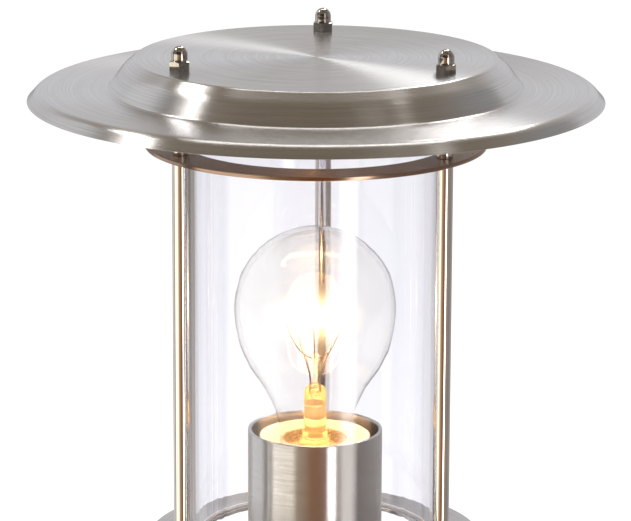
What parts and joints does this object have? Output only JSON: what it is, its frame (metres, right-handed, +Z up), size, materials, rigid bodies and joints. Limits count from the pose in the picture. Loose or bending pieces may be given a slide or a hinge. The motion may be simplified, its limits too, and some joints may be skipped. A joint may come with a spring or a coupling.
{
  "type": "post lantern",
  "caption": "Outdoor post lantern: clear glass cylinder between flat steel rings on tie rods, wide spun hat with cap nuts, screw-in bulb on a round column with a base plate.",
  "frame": {"origin": "centre of the base plate's underside", "axes": "+Z up along the column; -Y is the front, midway between the left and right posts; +X right"},
  "size_m": [0.2102, 0.2102, 0.4405],
  "materials": {
    "brushed_steel": "spun and brushed stainless steel, satin",
    "polished_steel": "fine drawn stainless tube, half bright",
    "polished_nut": "polished stainless",
    "fastener_steel": "plain stainless fastener",
    "zinc_steel": "zinc plated, dull bright",
    "cast_aluminium": "machined",
    "clear_glass": "clear polished",
    "bulb_glass": "clear blown",
    "clear_silicone": "translucent silicone, soft",
    "black_rubber": "matt",
    "white_nylon": "matt moulded",
    "white_ceramic": "glazed porcelain",
    "plated_brass": "nickel plated",
    "contact_brass": "sprung, bright",
    "solder_tin": "tinned, dull",
    "black_vitrite": "black glass insulator",
    "bulb_aluminium": "rolled, bright",
    "lead_wire": "drawn wire",
    "tungsten": "glowing coil"
  },
  "bodies": {
    "stand": {"base_plate": "brushed_steel", "column": "brushed_steel", "base_collar": "brushed_steel", "base_grub_screws": "fastener_steel", "cable_grommet": "black_rubber", "terminal_bracket": "zinc_steel", "terminal_block": "white_nylon", "terminal_screws": "zinc_steel", "earth_screw": "zinc_steel", "carrier_plate": "brushed_steel", "carrier_collar": "brushed_steel", "carrier_grub_screws": "fastener_steel", "carrier_screws": "fastener_steel", "lower_ring": "brushed_steel", "upper_ring": "brushed_steel", "lower_spacers": "polished_steel", "post_rear": "polished_steel", "post_left": "polished_steel", "post_right": "polished_steel", "upper_spacers": "polished_steel", "tie_rod_rear": "zinc_steel", "tie_rod_left": "zinc_steel", "tie_rod_right": "zinc_steel", "lock_nuts": "fastener_steel", "glass_seat_gasket": "clear_silicone", "holder_bracket": "cast_aluminium", "bracket_screws": "fastener_steel", "holder_nipple": "zinc_steel", "nipple_nuts": "zinc_steel", "lampholder_base": "white_ceramic", "lampholder_body": "white_ceramic", "lampholder_screws": "zinc_steel", "lampholder_shell": "plated_brass", "contact_rivet": "contact_brass"},
    "hat": {"hat": "brushed_steel", "hat_gasket": "clear_silicone"},
    "glass": {"glass_cylinder": "clear_glass"},
    "contact": {"centre_contact": "contact_brass"},
    "bulb_foot": {"bulb_foot_contact": "solder_tin"},
    "bulb": {"bulb_insulator": "black_vitrite", "bulb_cap": "bulb_aluminium", "bulb_envelope": "bulb_glass", "bulb_stem": "bulb_glass", "bulb_leads": "lead_wire", "bulb_supports": "lead_wire", "bulb_filament": "tungsten"},
    "nut_rear": {"cap_nut_rear": "polished_nut"},
    "nut_left": {"cap_nut_left": "polished_nut"},
    "nut_right": {"cap_nut_right": "polished_nut"}
  },
  "joints": [
    {"name": "hat_lift", "type": "slide", "parent": "stand", "child": "hat", "axis": [0, 0, 1], "range_m": [0, 0.2]},
    {"name": "glass_lift", "type": "slide", "parent": "stand", "child": "glass", "axis": [0, 0, 1], "range_m": [0, 0.1]},
    {"name": "bulb_rise", "type": "slide", "parent": "stand", "child": "bulb_foot", "axis": [0, 0, 1], "range_m": [0, 0.0109]},
    {"name": "bulb_turn", "type": "hinge", "parent": "bulb_foot", "child": "bulb", "pos_m": [0, 0, 0.3], "axis": [0, 0, 1], "range_deg": [0, 1080]},
    {"name": "contact_press", "type": "slide", "parent": "stand", "child": "contact", "axis": [0, 0, 1], "range_m": [-0.001, 0], "stiffness_N_per_m": 400},
    {"name": "nut_rear_turn", "type": "hinge", "parent": "hat", "child": "nut_rear", "pos_m": [0, 0.0548, 0.432], "axis": [0, 0, 1], "continuous": true},
    {"name": "nut_left_turn", "type": "hinge", "parent": "hat", "child": "nut_left", "pos_m": [-0.04746, -0.0274, 0.432], "axis": [0, 0, 1], "continuous": true},
    {"name": "nut_right_turn", "type": "hinge", "parent": "hat", "child": "nut_right", "pos_m": [0.04746, -0.0274, 0.432], "axis": [0, 0, 1], "continuous": true}
  ],
  "couplings": [
    {"joint": "glass_lift", "follows": "hat_lift", "ratio": 0.5},
    {"joint": "bulb_rise", "follows": "bulb_turn", "m_per_rad": 0.00057757}
  ]
}
